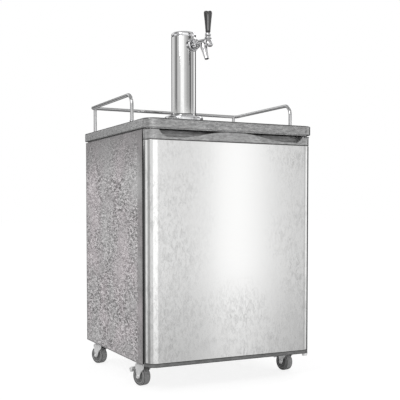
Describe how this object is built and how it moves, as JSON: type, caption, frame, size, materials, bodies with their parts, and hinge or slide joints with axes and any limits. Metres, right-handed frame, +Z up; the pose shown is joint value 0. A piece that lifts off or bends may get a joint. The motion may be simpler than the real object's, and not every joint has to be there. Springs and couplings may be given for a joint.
{
  "type": "kegerator",
  "caption": "Wheeled refrigerator for a keg with a stainless door, a moulded top with a guard rail, and a steel beer tower with a lever tap.",
  "frame": {"origin": "on the floor under the middle of the worktop's footprint", "axes": "+Z up, -Y towards the door, +X to the viewer's right when facing the door"},
  "size_m": [0.609, 0.601, 1.2528],
  "materials": {
    "grey_paint": "pebbled grey paint on steel sheet",
    "zinc": "zinc-plated pressed steel",
    "foam": "rigid foam",
    "white_plastic": "satin white plastic",
    "grey_plastic": "finely textured grey plastic",
    "dark_plastic": "textured dark plastic",
    "stainless": "brushed stainless steel",
    "rubber": "matt dark grey rubber",
    "aluminium": "plain rolled aluminium",
    "black_paint": "semi-gloss black paint",
    "chrome": "polished chrome",
    "black_gloss": "glossy black plastic"
  },
  "bodies": {
    "cabinet": {"back_panel": "grey_paint", "base_pan": "zinc", "cabinet_wrap": "grey_paint", "caster_plate_front_left": "zinc", "caster_plate_front_right": "zinc", "caster_plate_rear_left": "zinc", "caster_plate_rear_right": "zinc", "compressor": "black_paint", "compressor_cover": "black_paint", "control_housing": "white_plastic", "coupling_nut": "chrome", "escutcheon": "chrome", "evaporator_plate": "aluminium", "guard_rail": "chrome", "inner_liner": "white_plastic", "insulation": "foam", "keg_floor_plate": "zinc", "lower_hinge": "zinc", "rail_foot_front_left": "chrome", "rail_foot_front_right": "chrome", "rail_foot_rear_left": "chrome", "rail_foot_rear_right": "chrome", "shank": "chrome", "shank_nut": "chrome", "tap_body": "chrome", "tap_bonnet": "chrome", "tower_base": "chrome", "tower_cap": "chrome", "tower_column": "stainless", "upper_hinge": "zinc", "worktop": "grey_plastic"},
    "door": {"door_skin": "stainless", "door_core": "foam", "door_liner": "white_plastic", "door_top_cap": "grey_plastic", "door_bottom_cap": "dark_plastic", "door_gasket": "rubber"},
    "tray": {"drip_tray": "dark_plastic"},
    "grate": {"drip_grate": "stainless"},
    "knob": {"thermostat_knob": "grey_plastic"},
    "lever": {"tap_lever": "chrome", "handle_ferrule": "chrome", "tap_handle": "black_gloss"},
    "plunger": {"tap_plunger": "stainless"},
    "fork_front_left": {"caster_fork_front_left": "zinc", "caster_axle_front_left": "zinc"},
    "wheel_front_left": {"caster_wheel_front_left": "rubber"},
    "fork_front_right": {"caster_fork_front_right": "zinc", "caster_axle_front_right": "zinc"},
    "wheel_front_right": {"caster_wheel_front_right": "rubber"},
    "fork_rear_left": {"caster_fork_rear_left": "zinc", "caster_axle_rear_left": "zinc"},
    "wheel_rear_left": {"caster_wheel_rear_left": "rubber"},
    "fork_rear_right": {"caster_fork_rear_right": "zinc", "caster_axle_rear_right": "zinc"},
    "wheel_rear_right": {"caster_wheel_rear_right": "rubber"},
    "brake_front_left": {"brake_lever_front_left": "zinc"},
    "brake_front_right": {"brake_lever_front_right": "zinc"}
  },
  "joints": [
    {"name": "door_hinge", "type": "hinge", "parent": "cabinet", "child": "door", "pos_m": [0.281, -0.282, 0], "axis": [0, 0, 1], "range_deg": [0, 130]},
    {"name": "drip_tray_lift", "type": "slide", "parent": "cabinet", "child": "tray", "axis": [0, 0, 1], "range_m": [0, 0.03]},
    {"name": "drip_grate_lift", "type": "slide", "parent": "tray", "child": "grate", "axis": [0, 0, 1], "range_m": [0, 0.03]},
    {"name": "thermostat_turn", "type": "hinge", "parent": "cabinet", "child": "knob", "pos_m": [0.1754, 0.2171, 0.7121], "axis": [0, -1, 0], "range_deg": [-150, 150]},
    {"name": "lever_tilt", "type": "hinge", "parent": "cabinet", "child": "lever", "pos_m": [0.03832, -0.03423, 1.16], "axis": [0.9511, 0.309, 0], "range_deg": [0, 35]},
    {"name": "plunger_slide", "type": "slide", "parent": "cabinet", "child": "plunger", "axis": [-0.309, 0.9511, 0], "range_m": [0, 0.0072]},
    {"name": "swivel_front_left", "type": "hinge", "parent": "cabinet", "child": "fork_front_left", "pos_m": [-0.2675, -0.208, 0], "axis": [0, 0, 1], "continuous": true},
    {"name": "roll_front_left", "type": "hinge", "parent": "fork_front_left", "child": "wheel_front_left", "pos_m": [-0.27467, -0.18301, 0.03], "axis": [0.9613, 0.2756, 0], "continuous": true},
    {"name": "swivel_front_right", "type": "hinge", "parent": "cabinet", "child": "fork_front_right", "pos_m": [0.2675, -0.208, 0], "axis": [0, 0, 1], "continuous": true},
    {"name": "roll_front_right", "type": "hinge", "parent": "fork_front_right", "child": "wheel_front_right", "pos_m": [0.26388, -0.18225, 0.03], "axis": [0.9903, 0.1392, 0], "continuous": true},
    {"name": "swivel_rear_left", "type": "hinge", "parent": "cabinet", "child": "fork_rear_left", "pos_m": [-0.2675, 0.2, 0], "axis": [0, 0, 1], "continuous": true},
    {"name": "roll_rear_left", "type": "hinge", "parent": "fork_rear_left", "child": "wheel_rear_left", "pos_m": [-0.27639, 0.22443, 0.03], "axis": [0.9397, 0.342, 0], "continuous": true},
    {"name": "swivel_rear_right", "type": "hinge", "parent": "cabinet", "child": "fork_rear_right", "pos_m": [0.2675, 0.2, 0], "axis": [0, 0, 1], "continuous": true},
    {"name": "roll_rear_right", "type": "hinge", "parent": "fork_rear_right", "child": "wheel_rear_right", "pos_m": [0.26121, 0.22523, 0.03], "axis": [0.9703, 0.2419, 0], "continuous": true},
    {"name": "press_brake_front_left", "type": "hinge", "parent": "fork_front_left", "child": "brake_front_left", "pos_m": [-0.2777, -0.17243, 0.063], "axis": [-0.9613, -0.2756, 0], "range_deg": [0, 15]},
    {"name": "press_brake_front_right", "type": "hinge", "parent": "fork_front_right", "child": "brake_front_right", "pos_m": [0.26235, -0.17136, 0.063], "axis": [-0.9903, -0.1392, 0], "range_deg": [0, 15]}
  ],
  "couplings": [
    {"joint": "plunger_slide", "follows": "lever_tilt", "m_per_rad": 0.01064}
  ]
}
